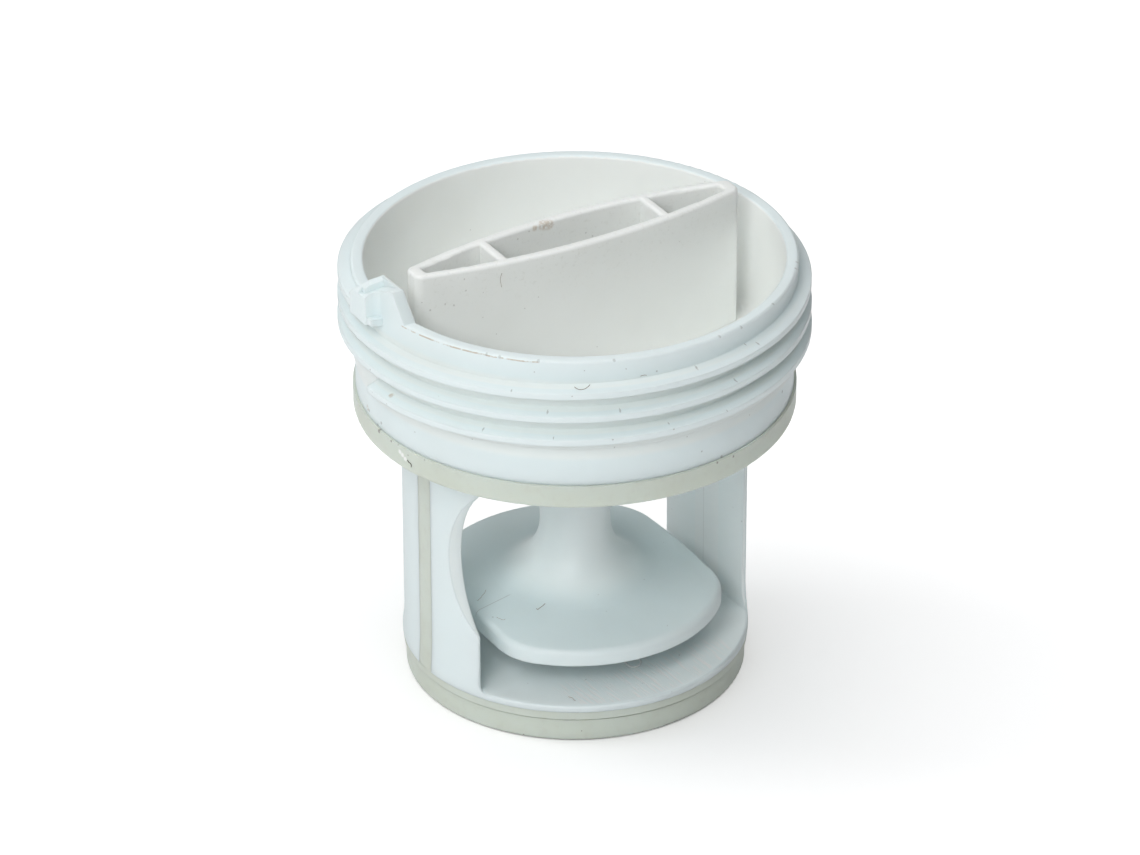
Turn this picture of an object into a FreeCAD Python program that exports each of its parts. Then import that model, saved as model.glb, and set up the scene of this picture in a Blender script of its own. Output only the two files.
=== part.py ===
import FreeCAD, Part
import math
import os

from FreeCAD import Vector

# Drain-pump filter of a washing machine, in millimetres.
# +Z is up and the filter stands on its base seal at z = 0. The Z axis is the axis of the thread.
# The grip runs along X, the small tab stands on the rim at -X, and the two windows face -Y and +Y.
# Two pieces: one white moulding, and one soft seal moulded onto it.

# Two legs between cap and base, flat inside and round outside
LEG_R = 25.9
LEG_THICKNESS = 2.9
LEG_FLAT_X = LEG_R - LEG_THICKNESS
LEG_HALF_WIDTH = 11.4
LEG_EDGE_TAPER = 0.9
LEG_FOOT_R = 4.5
LEG_BITE_FOOT_R = 1.5
LEG_FLARE_HEIGHT = 4.3
LEG_INNER_FOOT_R = 1.6
BITE_R = 15.9
BITE_DEPTH = 5.4
BITE_Y = LEG_HALF_WIDTH + BITE_R - BITE_DEPTH
BITE_Z = 27.4

# Screw cap, with a smooth collar band below its thread
CAP_WALL_R = LEG_R + 7.0
CAP_WALL = 1.9
RIM_TOP_Z = 68.3
RIM_EDGE_R = 0.35
BAND_R = CAP_WALL_R - 0.45
BAND_BOTTOM_Z = 47.7
BAND_TOP_Z = BAND_BOTTOM_Z + 6.2
CUP_MOUTH_R = CAP_WALL_R - CAP_WALL
CUP_DRAFT = 0.5
CUP_FLOOR_R = CUP_MOUTH_R - CUP_DRAFT
CUP_FLOOR_Z = BAND_BOTTOM_Z + 2.7
CUP_FLOOR_THICKNESS = 2.4
CUP_CORNER_R = 1.2

# Spigot under the cap, which carries the legs and the collar seal
SPIGOT_R = LEG_R + 1.3
SPIGOT_WALL = 2.4
SPIGOT_BOTTOM_Z = BAND_BOTTOM_Z - 2.7

# Thread: one start, right-handed, steep below each ridge and sloped above it
THREAD_DEPTH = 2.1
THREAD_CREST_R = CAP_WALL_R + THREAD_DEPTH
THREAD_PITCH = 3.75
THREAD_TURNS = 3.0
THREAD_START_Z = BAND_TOP_Z + 1.1
THREAD_CREST_HEIGHT = 0.95
THREAD_UPPER_SLOPE = 0.75
THREAD_LOWER_SLOPE = 0.45
THREAD_ROOT_BITE = 0.5
THREAD_END_Y = -1.25
THREAD_END_TOP_Z = RIM_TOP_Z - 1.1

# Lens-shaped grip, with two cross ribs that make three pockets
GRIP_TOP_Z = RIM_TOP_Z + 4.2
GRIP_HALF_LENGTH = CUP_FLOOR_R - 3.1
GRIP_HALF_WIDTH = 5.3
GRIP_END_HALF_WIDTH = 1.7
GRIP_WALL = 1.6
GRIP_END_WALL = 2.1
GRIP_END_R = 1.3
GRIP_POCKET_END_HALF_WIDTH = 0.8
GRIP_POCKET_END_R = 0.35
GRIP_POCKET_FLOOR_Z = CUP_FLOOR_Z + 1.6
GRIP_RIB_X = GRIP_HALF_LENGTH / 2
GRIP_RIB_WALL = 1.4
GRIP_TOP_EDGE_R = 0.45

# Tab on the rim at -X: a raised wall, a block outside it, and a notch across both
TAB_TOP_Z = RIM_TOP_Z + 4.2
TAB_FOOT_Y = (-6.5, 6.0)
TAB_TOP_Y = (-3.9, 1.5)
TAB_BACK_Y = 4.8
TAB_BACK_Z = TAB_TOP_Z - 3.1
TAB_BLOCK_FACE_X = -THREAD_CREST_R
TAB_BLOCK_EDGE_Z = TAB_TOP_Z - 2.2
TAB_BLOCK_SHOULDER_X = -CAP_WALL_R + 0.1
TAB_BLOCK_BOTTOM_Z = RIM_TOP_Z - 2.3
TAB_BLOCK_SIDE_Y = 0.0
TAB_BLOCK_HOLLOW_R = -THREAD_END_Y
TAB_NOTCH_START_Y = -2.9
TAB_NOTCH_INNER_X = -CAP_WALL_R + 1.5
TAB_NOTCH_INNER = (0.8, 1.45)
TAB_NOTCH_OUTER = (1.7, 2.4)
TAB_NOTCH_FALL = 1.0
TAB_NOTCH_LIP = 0.45
TAB_POCKET_END_X = -THREAD_CREST_R + 0.8
TAB_POCKET_Y = (1.0, 2.2)
TAB_POCKET_FLOOR_Z = TAB_BLOCK_EDGE_Z

# Base
BASE_R = LEG_R + 0.2
BASE_LIP_Z = 6.2
BASE_LIP_HEIGHT = 1.0
BASE_LIP_BOTTOM_Z = BASE_LIP_Z - BASE_LIP_HEIGHT
BASE_LIP_WIDTH = 0.7
BASE_EDGE_R = 0.3
BASE_FLOOR_DROP = 1.2
BASE_FLOOR_THICKNESS = 1.9
BASE_OPENING_R = 9.5
BASE_SKIRT_WALL = 2.0
BASE_SKIRT_BOTTOM_Z = 0.8

# Trumpet-shaped stem and the deflector plate that hangs from it
STEM_R = 5.3
STEM_TOP_R = STEM_R + 0.6
STEM_CORE_R = STEM_R - 2.4
STEM_CORE_TOP_Z = BAND_BOTTOM_Z - 1.7
TRUMPET_R = 8.8
PLATE_R = LEG_FLAT_X - 0.7
PLATE_BOTTOM_Z = 10.9
PLATE_EDGE_THICKNESS = 2.4
PLATE_EDGE_R = 0.9
PLATE_SLOPE = 0.16
PLATE_FLAT_X = PLATE_R - 3.7
PLATE_CORNER_R = 9.0

# Soft seal: collar ring, strip down the -X leg, and base ring
COLLAR_SEAL_R = BAND_R + 0.4
COLLAR_SEAL_BOTTOM_Z = BAND_BOTTOM_Z - 3.8
COLLAR_SEAL_EDGE_R = 0.9
STRIP_WIDTH = 3.6
STRIP_DEPTH = 1.1
STRIP_TOP_Z = BAND_BOTTOM_Z - 1.5
SEAL_BAND_R = LEG_R + 0.05
SEAL_FOOT_R = LEG_R - 0.3
SEAL_FOOT_WALL = 2.4
SEAL_FOOT_TOP_Z = 3.6
SEAL_GROOVE_DEPTH = 0.3
SEAL_GROOVE_HEIGHT = 0.3
SEAL_FOOT_EDGE_R = 0.5
BASE_SKIRT_R = SEAL_FOOT_R - SEAL_FOOT_WALL

# Helper lengths: how far a feature runs into its neighbour, a length past everything, and a match
OVERLAP = 1.0
BIG = 100.0
SAME = 1e-4


def at(radius, height):
    """A point of a turned profile, in the XZ plane."""
    return Vector(radius, 0, height)


def turned(points):
    """A solid of revolution about Z from a closed list of (radius, height) points."""
    corners = [at(radius, height) for radius, height in points]
    outline = Part.makePolygon(corners + corners[:1])
    return Part.Face(outline).revolve(Vector(0, 0, 0), Vector(0, 0, 1), 360)


def turned_from_edges(edges):
    """A solid of revolution about Z from the edges of a closed profile."""
    outline = Part.Wire(Part.__sortEdges__(edges))
    return Part.Face(outline).revolve(Vector(0, 0, 0), Vector(0, 0, 1), 360)


def block(x_range, y_range, z_range):
    """A rectangular block between three pairs of limits."""
    size = [high - low for low, high in (x_range, y_range, z_range)]
    corner = Vector(x_range[0], y_range[0], z_range[0])
    return Part.makeBox(size[0], size[1], size[2], corner)


def prism(points, reach):
    """A solid from a flat closed outline, pushed along a vector."""
    return Part.Face(Part.makePolygon(points + points[:1])).extrude(reach)


def half_turn(shape):
    """A copy of the shape, turned by 180 degrees about Z."""
    turned_copy = shape.copy()
    turned_copy.rotate(Vector(0, 0, 0), Vector(0, 0, 1), 180)
    return turned_copy


def circular_edges(shape, radius, height):
    """The full round edges of a shape at one radius and height."""
    found = []
    for edge in shape.Edges:
        curve = edge.Curve
        if not isinstance(curve, Part.Circle):
            continue
        level = abs(curve.Center.z - height) < SAME
        if level and abs(curve.Radius - radius) < SAME:
            found.append(edge)
    return found


def cup():
    """The open cup of the cap, with the collar band and the spigot under it."""
    underside_z = CUP_FLOOR_Z - CUP_FLOOR_THICKNESS
    shape = turned([
        (0, underside_z),
        (SPIGOT_R - SPIGOT_WALL, underside_z),
        (SPIGOT_R - SPIGOT_WALL, SPIGOT_BOTTOM_Z),
        (SPIGOT_R, SPIGOT_BOTTOM_Z),
        (SPIGOT_R, BAND_BOTTOM_Z),
        (BAND_R, BAND_BOTTOM_Z),
        (BAND_R, BAND_TOP_Z),
        (CAP_WALL_R, BAND_TOP_Z),
        (CAP_WALL_R, RIM_TOP_Z),
        (CUP_MOUTH_R, RIM_TOP_Z),
        (CUP_FLOOR_R, CUP_FLOOR_Z),
        (0, CUP_FLOOR_Z),
    ])
    rim = circular_edges(shape, CAP_WALL_R, RIM_TOP_Z) + circular_edges(shape, CUP_MOUTH_R, RIM_TOP_Z)
    shape = shape.makeFillet(RIM_EDGE_R, rim)
    return shape.makeFillet(CUP_CORNER_R, circular_edges(shape, CUP_FLOOR_R, CUP_FLOOR_Z))


def thread():
    """The raised ridge of the thread, from its flat start at -X to its end under the tab."""
    end_angle = math.degrees(math.asin(-THREAD_END_Y / THREAD_CREST_R))
    turns = THREAD_TURNS + end_angle / 360
    inner_r = CAP_WALL_R - THREAD_ROOT_BITE
    upper_run = THREAD_UPPER_SLOPE / (THREAD_CREST_R - CAP_WALL_R)
    lower_run = THREAD_LOWER_SLOPE / (THREAD_CREST_R - CAP_WALL_R)
    depth = THREAD_CREST_R - inner_r
    corners = [
        at(THREAD_CREST_R, THREAD_START_Z),
        at(THREAD_CREST_R, THREAD_START_Z + THREAD_CREST_HEIGHT),
        at(inner_r, THREAD_START_Z + THREAD_CREST_HEIGHT + depth * upper_run),
        at(inner_r, THREAD_START_Z - depth * lower_run),
    ]
    section = Part.makePolygon(corners + corners[:1])
    path = Part.makeLongHelix(THREAD_PITCH, THREAD_PITCH * turns, THREAD_CREST_R)
    path.translate(Vector(0, 0, THREAD_START_Z))
    ridge = Part.Wire(path.Edges).makePipeShell([section], True, True)
    above_end = block((-THREAD_CREST_R - OVERLAP, -CUP_MOUTH_R), (THREAD_END_Y - OVERLAP, TAB_BLOCK_SIDE_Y),
                      (THREAD_END_TOP_Z, RIM_TOP_Z + OVERLAP))
    return half_turn(ridge).cut(above_end)


def lens(half_length, half_width, end_half_width, corner_r, low_z, high_z):
    """An upright prism with a lens-shaped outline that is blunt at both ends."""
    right_low = Vector(half_length, -end_half_width, low_z)
    right_high = Vector(half_length, end_half_width, low_z)
    left_low = Vector(-half_length, -end_half_width, low_z)
    left_high = Vector(-half_length, end_half_width, low_z)
    edges = [
        Part.Arc(left_low, Vector(0, -half_width, low_z), right_low).toShape(),
        Part.makeLine(right_low, right_high),
        Part.Arc(right_high, Vector(0, half_width, low_z), left_high).toShape(),
        Part.makeLine(left_high, left_low),
    ]
    prism = Part.Face(Part.Wire(edges)).extrude(Vector(0, 0, high_z - low_z))
    upright = [edge for edge in prism.Edges if abs(edge.tangentAt(edge.FirstParameter).z) > 0.99]
    return prism.makeFillet(corner_r, upright)


def grip():
    """The lens-shaped grip that stands in the cup."""
    outer = lens(GRIP_HALF_LENGTH, GRIP_HALF_WIDTH, GRIP_END_HALF_WIDTH, GRIP_END_R,
                 CUP_FLOOR_Z - OVERLAP, GRIP_TOP_Z)
    pockets = lens(GRIP_HALF_LENGTH - GRIP_END_WALL, GRIP_HALF_WIDTH - GRIP_WALL,
                   GRIP_POCKET_END_HALF_WIDTH, GRIP_POCKET_END_R,
                   GRIP_POCKET_FLOOR_Z, GRIP_TOP_Z + OVERLAP)
    for side in (-1, 1):
        middle = side * GRIP_RIB_X
        rib = block((middle - GRIP_RIB_WALL / 2, middle + GRIP_RIB_WALL / 2),
                    (-GRIP_HALF_WIDTH, GRIP_HALF_WIDTH), (CUP_FLOOR_Z, GRIP_TOP_Z + 2 * OVERLAP))
        pockets = pockets.cut(rib)
    shape = outer.cut(pockets)
    top_edges = [edge for edge in shape.Edges
                 if all(abs(vertex.Z - GRIP_TOP_Z) < SAME for vertex in edge.Vertexes)]
    return shape.makeFillet(GRIP_TOP_EDGE_R, top_edges)


def tab_profile():
    """The tab's outline as seen along X, far out at -X, pushed through the whole rim."""
    low_z = TAB_BLOCK_BOTTOM_Z
    outline = [Vector(-BIG, y, z) for y, z in (
        (TAB_FOOT_Y[0], low_z), (TAB_FOOT_Y[0], RIM_TOP_Z), (TAB_TOP_Y[0], TAB_TOP_Z),
        (TAB_TOP_Y[1], TAB_TOP_Z), (TAB_BACK_Y, TAB_BACK_Z), (TAB_FOOT_Y[1], RIM_TOP_Z),
        (TAB_FOOT_Y[1], low_z))]
    return prism(outline, Vector(BIG, 0, 0))


def tab_wall():
    """The raised wall of the tab, as thick as the rim."""
    foot = Vector(0, 0, RIM_TOP_Z - OVERLAP)
    height = TAB_TOP_Z - RIM_TOP_Z + 2 * OVERLAP
    ring = Part.makeCylinder(CAP_WALL_R, height, foot)
    ring = ring.cut(Part.makeCylinder(CUP_MOUTH_R, height, foot))
    return tab_profile().common(ring)


def tab_hollow():
    """The hollow curve that leads from the tab's wall out to the side of its block."""
    wall_x = TAB_BLOCK_SHOULDER_X
    radius = TAB_BLOCK_HOLLOW_R
    turn = radius * (1 - math.sin(math.radians(45)))
    low_z = THREAD_END_TOP_Z
    root = Vector(wall_x + OVERLAP, TAB_BLOCK_SIDE_Y - radius, low_z)
    on_wall = Vector(wall_x, TAB_BLOCK_SIDE_Y - radius, low_z)
    middle = Vector(wall_x - turn, TAB_BLOCK_SIDE_Y - turn, low_z)
    on_block = Vector(wall_x - radius, TAB_BLOCK_SIDE_Y, low_z)
    inside = Vector(wall_x - radius, TAB_BLOCK_SIDE_Y + OVERLAP, low_z)
    corner = Vector(wall_x + OVERLAP, TAB_BLOCK_SIDE_Y + OVERLAP, low_z)
    edges = [Part.makeLine(root, on_wall), Part.Arc(on_wall, middle, on_block).toShape(),
             Part.makeLine(on_block, inside), Part.makeLine(inside, corner), Part.makeLine(corner, root)]
    return Part.Face(Part.Wire(edges)).extrude(Vector(0, 0, TAB_TOP_Z - low_z))


def tab_block():
    """The block outside the wall, with a top that slopes down outwards."""
    root_x = -CUP_MOUTH_R - CAP_WALL / 2
    body = block((TAB_BLOCK_FACE_X, root_x), (TAB_BLOCK_SIDE_Y, TAB_BACK_Y),
                 (TAB_BLOCK_BOTTOM_Z, TAB_TOP_Z))
    side = [Vector(x, -BIG, z) for x, z in (
        (TAB_BLOCK_FACE_X, TAB_BLOCK_BOTTOM_Z), (TAB_BLOCK_FACE_X, TAB_BLOCK_EDGE_Z),
        (TAB_BLOCK_SHOULDER_X, TAB_TOP_Z), (root_x, TAB_TOP_Z), (root_x, TAB_BLOCK_BOTTOM_Z))]
    slope = prism(side, Vector(0, 2 * BIG, 0))
    return body.fuse(tab_hollow()).common(slope).common(tab_profile())


def tab_notch():
    """The notch across the tab: a long ramp down to a short steep wall, both falling outwards."""
    outer_x = TAB_BLOCK_FACE_X - OVERLAP
    above_z = TAB_TOP_Z + OVERLAP
    wires = []
    for x, (wall_y, depth), fall in (
            (TAB_NOTCH_INNER_X, TAB_NOTCH_INNER, 0), (outer_x, TAB_NOTCH_OUTER, TAB_NOTCH_FALL)):
        lip_z = TAB_TOP_Z - TAB_NOTCH_LIP - fall
        corners = [Vector(x, y, z) for y, z in (
            (TAB_NOTCH_START_Y, TAB_TOP_Z - fall), (wall_y, TAB_TOP_Z - depth), (wall_y, lip_z),
            (TAB_TOP_Y[1] + fall, TAB_TOP_Z - fall), (TAB_TOP_Y[1] + fall, above_z),
            (TAB_NOTCH_START_Y, above_z))]
        wires.append(Part.makePolygon(corners + corners[:1]))
    notch = Part.makeLoft(wires, True, True)
    pocket = block((outer_x, TAB_POCKET_END_X), TAB_POCKET_Y, (TAB_POCKET_FLOOR_Z, above_z))
    return notch.fuse(pocket)


def tab():
    """The small tab that rises from the rim at -X."""
    return tab_wall().fuse(tab_block()).cut(tab_notch())


def leg_inside(top_z):
    """The space behind a leg's flat inner face, which turns into the base floor in a hollow curve."""
    floor_z = BASE_LIP_Z - BASE_FLOOR_DROP
    bend = LEG_INNER_FOOT_R
    turn = bend * math.sin(math.radians(45))
    toe = LEG_FLAT_X - bend
    low_z = floor_z - OVERLAP / 2
    points = [(toe, floor_z), (toe, low_z), (BIG, low_z), (BIG, top_z), (LEG_FLAT_X, top_z),
              (LEG_FLAT_X, floor_z + bend)]
    edges = [Part.makeLine(at(*start), at(*end)) for start, end in zip(points, points[1:])]
    edges.append(Part.Arc(at(*points[-1]), at(LEG_FLAT_X - bend + turn, floor_z + bend - turn),
                          at(*points[0])).toShape())
    outline = Part.Wire(Part.__sortEdges__(edges))
    outline.translate(Vector(0, -BIG, 0))
    return Part.Face(outline).extrude(Vector(0, 2 * BIG, 0))


def leg_round(low_z, high_z):
    """The round outside of both legs, which widens at the foot until it is flush with the lip."""
    return turned([
        (0, low_z),
        (BASE_R, low_z),
        (BASE_R, BASE_LIP_Z),
        (LEG_R, BASE_LIP_Z + LEG_FLARE_HEIGHT),
        (LEG_R, high_z),
        (0, high_z),
    ])


def foot_curve(side, half_width, radius, floor_z):
    """The hollow curve from one edge of a leg down to the base floor, and its two ends."""
    turn = radius * (1 - math.sin(math.radians(45)))
    high = Vector(0, side * half_width, floor_z + radius)
    middle = Vector(0, side * (half_width + turn), floor_z + turn)
    low = Vector(0, side * (half_width + radius), floor_z)
    return high, low, Part.Arc(high, middle, low).toShape()


def leg():
    """The +X leg: round outside, flat inside, its -Y edge tapered and a round bite out of +Y."""
    floor_z = BASE_LIP_Z - BASE_FLOOR_DROP
    low_z = BASE_LIP_BOTTOM_Z - OVERLAP
    top_z = CUP_FLOOR_Z - CUP_FLOOR_THICKNESS / 2
    lip_inner_r = BASE_R - BASE_LIP_WIDTH
    funnel = BASE_FLOOR_DROP / (lip_inner_r - BASE_OPENING_R)
    bite_foot_z = BASE_LIP_Z - funnel * (lip_inner_r - LEG_FLAT_X)
    plain_high, plain_low, plain_foot = foot_curve(
        -1, LEG_HALF_WIDTH - LEG_EDGE_TAPER, LEG_FOOT_R, floor_z)
    bite_high, bite_low, bite_foot = foot_curve(1, LEG_HALF_WIDTH, LEG_BITE_FOOT_R, bite_foot_z)
    top = [bite_high, Vector(0, LEG_HALF_WIDTH, top_z), Vector(0, -LEG_HALF_WIDTH, top_z), plain_high]
    bottom = [plain_low, Vector(0, plain_low.y, low_z), Vector(0, bite_low.y, low_z), bite_low]
    edges = [Part.makeLine(start, end) for start, end in zip(top, top[1:])]
    edges += [Part.makeLine(start, end) for start, end in zip(bottom, bottom[1:])]
    outline = Part.Wire(Part.__sortEdges__(edges + [plain_foot, bite_foot]))
    shape = Part.Face(outline).extrude(Vector(BIG, 0, 0))
    shape = shape.common(leg_round(BASE_LIP_BOTTOM_Z, top_z))
    shape = shape.common(leg_inside(top_z))
    bite = Part.makeCylinder(BITE_R, BIG, Vector(0, BITE_Y, BITE_Z), Vector(1, 0, 0))
    return shape.cut(bite)


def stem_and_plate():
    """The trumpet-shaped stem and the deflector plate, cored out from below."""
    plate_top_z = PLATE_BOTTOM_Z + PLATE_EDGE_THICKNESS
    centre_r = STEM_R + TRUMPET_R
    cone_z = plate_top_z + PLATE_SLOPE * (PLATE_R - centre_r)
    centre_z = cone_z + TRUMPET_R * math.sqrt(1 + PLATE_SLOPE ** 2)
    lean = math.atan(PLATE_SLOPE)
    touch = at(centre_r - TRUMPET_R * math.sin(lean), centre_z - TRUMPET_R * math.cos(lean))
    half = (math.pi / 2 - lean) / 2 + lean
    middle = at(centre_r - TRUMPET_R * math.sin(half), centre_z - TRUMPET_R * math.cos(half))
    neck = at(STEM_R, centre_z)
    top = CUP_FLOOR_Z - CUP_FLOOR_THICKNESS / 2
    edges = [
        Part.makeLine(at(0, PLATE_BOTTOM_Z), at(PLATE_R, PLATE_BOTTOM_Z)),
        Part.makeLine(at(PLATE_R, PLATE_BOTTOM_Z), at(PLATE_R, plate_top_z)),
        Part.makeLine(at(PLATE_R, plate_top_z), touch),
        Part.Arc(touch, middle, neck).toShape(),
        Part.makeLine(neck, at(STEM_TOP_R, top)),
        Part.makeLine(at(STEM_TOP_R, top), at(0, top)),
        Part.makeLine(at(0, top), at(0, PLATE_BOTTOM_Z)),
    ]
    shape = turned_from_edges(edges)
    corner_y = math.sqrt(PLATE_R ** 2 - PLATE_FLAT_X ** 2)
    outline = block((-PLATE_FLAT_X, PLATE_FLAT_X), (-PLATE_R, PLATE_R), (0, top))
    outline = outline.common(Part.makeCylinder(PLATE_R, top))
    corners = [edge for edge in outline.Edges
               if len(edge.Vertexes) == 2
               and abs(edge.Vertexes[0].Z - edge.Vertexes[1].Z) > top / 2
               and abs(abs(edge.Vertexes[0].Y) - corner_y) < SAME]
    outline = outline.makeFillet(PLATE_CORNER_R, corners)
    shape = shape.common(outline)
    rim = [edge for edge in shape.Edges
           if edge.BoundBox.ZMin > plate_top_z - SAME and edge.BoundBox.ZMax < cone_z
           and math.hypot(edge.Vertexes[0].X, edge.Vertexes[0].Y) > centre_r]
    shape = shape.makeFillet(PLATE_EDGE_R, rim)
    return shape.cut(Part.makeCylinder(STEM_CORE_R, STEM_CORE_TOP_Z))


def base():
    """The base: a shallow funnel with a lip, an opening in the middle and a skirt below."""
    lip_inner_r = BASE_R - BASE_LIP_WIDTH
    floor_edge_z = BASE_LIP_Z - BASE_FLOOR_DROP
    underside_z = floor_edge_z - BASE_FLOOR_THICKNESS
    shape = turned([
        (BASE_OPENING_R, floor_edge_z),
        (BASE_OPENING_R, underside_z),
        (BASE_SKIRT_R - BASE_SKIRT_WALL, underside_z),
        (BASE_SKIRT_R - BASE_SKIRT_WALL, BASE_SKIRT_BOTTOM_Z),
        (BASE_SKIRT_R, BASE_SKIRT_BOTTOM_Z),
        (BASE_SKIRT_R, BASE_LIP_BOTTOM_Z),
        (BASE_R, BASE_LIP_BOTTOM_Z),
        (BASE_R, BASE_LIP_Z),
        (lip_inner_r, BASE_LIP_Z),
    ])
    return shape.makeFillet(BASE_EDGE_R, circular_edges(shape, BASE_R, BASE_LIP_Z))


def collar_seal():
    """The soft ring under the collar band."""
    shape = turned([
        (SPIGOT_R, COLLAR_SEAL_BOTTOM_Z),
        (COLLAR_SEAL_R, COLLAR_SEAL_BOTTOM_Z),
        (COLLAR_SEAL_R, BAND_BOTTOM_Z),
        (SPIGOT_R, BAND_BOTTOM_Z),
    ])
    lower = circular_edges(shape, COLLAR_SEAL_R, COLLAR_SEAL_BOTTOM_Z)
    return shape.makeFillet(COLLAR_SEAL_EDGE_R, lower)


def base_seal():
    """The soft foot ring, with a narrow groove below the band under the lip."""
    groove_r = SEAL_FOOT_R - SEAL_GROOVE_DEPTH
    groove_top_z = SEAL_FOOT_TOP_Z + SEAL_GROOVE_HEIGHT
    shape = turned([
        (BASE_SKIRT_R, 0),
        (SEAL_FOOT_R, 0),
        (SEAL_FOOT_R, SEAL_FOOT_TOP_Z),
        (groove_r, SEAL_FOOT_TOP_Z),
        (groove_r, SEAL_FOOT_TOP_Z + SEAL_GROOVE_HEIGHT / 2),
        (SEAL_BAND_R, groove_top_z),
        (SEAL_BAND_R, BASE_LIP_BOTTOM_Z),
        (BASE_SKIRT_R, BASE_LIP_BOTTOM_Z),
    ])
    return shape.makeFillet(SEAL_FOOT_EDGE_R, circular_edges(shape, SEAL_FOOT_R, 0))


def seal_strip():
    """The soft strip in the outside of the -X leg, which joins the two rings."""
    half = STRIP_WIDTH / 2
    outer = leg_round(BASE_LIP_BOTTOM_Z, STRIP_TOP_Z)
    core = Part.makeCylinder(LEG_R - STRIP_DEPTH, STRIP_TOP_Z)
    run = block((-BIG, 0), (-half, half), (BASE_LIP_BOTTOM_Z, STRIP_TOP_Z))
    strip = outer.cut(core).common(run)
    bridge = block((-SPIGOT_R - OVERLAP, -LEG_R + STRIP_DEPTH), (-half, half),
                   (COLLAR_SEAL_BOTTOM_Z, STRIP_TOP_Z))
    return strip.fuse(bridge)


def seal():
    """The whole seal, one soft piece."""
    shape = collar_seal().fuse([base_seal(), seal_strip()])
    return shape.removeSplitter()


def filter_body(soft):
    """The white moulding, with a bed cut for the seal."""
    plus_leg = leg()
    shape = cup()
    for feature in (thread(), grip(), tab(), plus_leg, half_turn(plus_leg), stem_and_plate(), base()):
        shape = shape.fuse(feature)
    return shape.cut(soft)


def export(name, shape):
    """Write one piece, and say how large it is."""
    box = shape.optimalBoundingBox(False, False)
    print("%s: valid %s, solids %d, volume %.1f, x %.2f..%.2f y %.2f..%.2f z %.2f..%.2f" % (
        name, shape.isValid(), len(shape.Solids), shape.Volume,
        box.XMin, box.XMax, box.YMin, box.YMax, box.ZMin, box.ZMax))
    shape.exportStep("parts/%s.step" % name)


def main():
    """Build both pieces and write them."""
    os.makedirs("parts", exist_ok=True)
    soft = seal()
    export("seal", soft)
    export("filter_body", filter_body(soft))


main()
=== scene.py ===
"""Looks of a drain-pump filter for a washing machine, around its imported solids."""

import math

import bpy
from mathutils import Matrix, Vector


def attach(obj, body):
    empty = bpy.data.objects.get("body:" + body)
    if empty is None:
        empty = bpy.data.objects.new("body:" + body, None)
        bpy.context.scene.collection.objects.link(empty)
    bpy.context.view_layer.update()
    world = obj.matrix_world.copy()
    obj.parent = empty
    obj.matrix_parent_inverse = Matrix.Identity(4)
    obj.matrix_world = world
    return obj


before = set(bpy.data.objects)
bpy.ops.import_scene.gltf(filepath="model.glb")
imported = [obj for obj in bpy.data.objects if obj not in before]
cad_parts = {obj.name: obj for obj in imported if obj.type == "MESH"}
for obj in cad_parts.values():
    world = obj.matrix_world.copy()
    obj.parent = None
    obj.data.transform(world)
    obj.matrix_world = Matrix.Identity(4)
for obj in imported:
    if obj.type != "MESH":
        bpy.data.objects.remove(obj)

bl_info = {
    "name": "Drain Pump Filter",
    "version": (1, 0, 0),
    "blender": (4, 5, 0),
    "location": "View3D > Sidebar > Filter",
    "description": "Finishes, wear and studio for a drain pump filter",
    "category": "Object",
}

MM = 0.001

# Places on the solids that the finishes refer to, in millimetres: radii, and limits in x, y and z
BAND_R = 32.7
CUP_EDGE_R = 31.1
CUP_LOW_Z = 49.5
GRIP_END_R = 28.5
GRIP_WORN_Z = (62.0, 72.0)
GROOVES_R = (32.2, 33.9)
GROOVES_Z = (52.0, 65.0)
RIM_EDGE_Z = 68.0
RIM_EDGE_R = 32.6
CAGE_TOP_Z = 46.0
CAGE_INSIDE_R = 25.85
PLATE_R = 22.65
PLATE_Z = (10.5, 18.0)
PLATE_SEAM_X = (-18.8, -12.6)
PLATE_SEAM_Y = -1.6
PLATE_SEAM_Z = (13.0, 16.0)
STEM_R = (8.0, 12.0)
LEG_INSIDE_X = (22.8, 23.2)
LEG_INSIDE_Z = (8.0, 44.0)
LEG_SEAM_Y = 0.65
LEG_BAND_Y = (-3.6, 3.1)
BASE_FLOOR_R = 25.6
BASE_FLOOR_Z = 6.6
SCRATCHES_X = (-13.0, 15.5)
SCRATCHES_Y = (-14.0, -17.0)

# How fine the ragged edges of the marks are, per millimetre, and how far they reach in millimetres
RAGGED = (3.0, 0.22)
# The rim's brown line, in degrees round from the front
BURR_REACH = (-79.5, -39.0)
SKIN_BUMP = 0.30

# Dark specks on the outside of the cap, by radius: degrees round from the front, and height
CAP_SPECKS = {
    0.11: (
        (-103, 48.5), (-91.5, 56.3), (-87.5, 55.7), (-81.5, 55.4), (-76, 51.1), (-57.5, 53.4),
        (-45.5, 64.0), (-40.5, 66.4), (-35.5, 56.7), (-31, 63.8), (-28, 66.9), (-20.5, 54.0),
        (-17.5, 66.7), (-7, 57.2), (-0.5, 53.3), (8.5, 57.0), (17.5, 65.2), (21, 52.4)),
    0.16: (
        (-88.5, 59.1), (-53, 56.6), (-37, 60.6), (-21.5, 56.5), (-19.5, 60.7), (-9.5, 65.6),
        (-6.5, 56.7), (1, 64.9), (4, 50.1), (12, 61.0), (20.5, 64.9)),
    0.27: ((-98.5, 48.7), (-93, 47.9), (-91, 48.8), (10.5, 47.9), (39, 51.3)),
}
# Nicks in the rim's edge, on the same terms
RIM_NICKS = {
    0.24: (
        (-53, 68.1), (-49.5, 68.1), (-39.5, 68.2), (-20.5, 68.2), (9, 68.2), (16.5, 68.1),
        (31, 68.3), (51, 68.3), (54.5, 68.3)),
}
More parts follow.
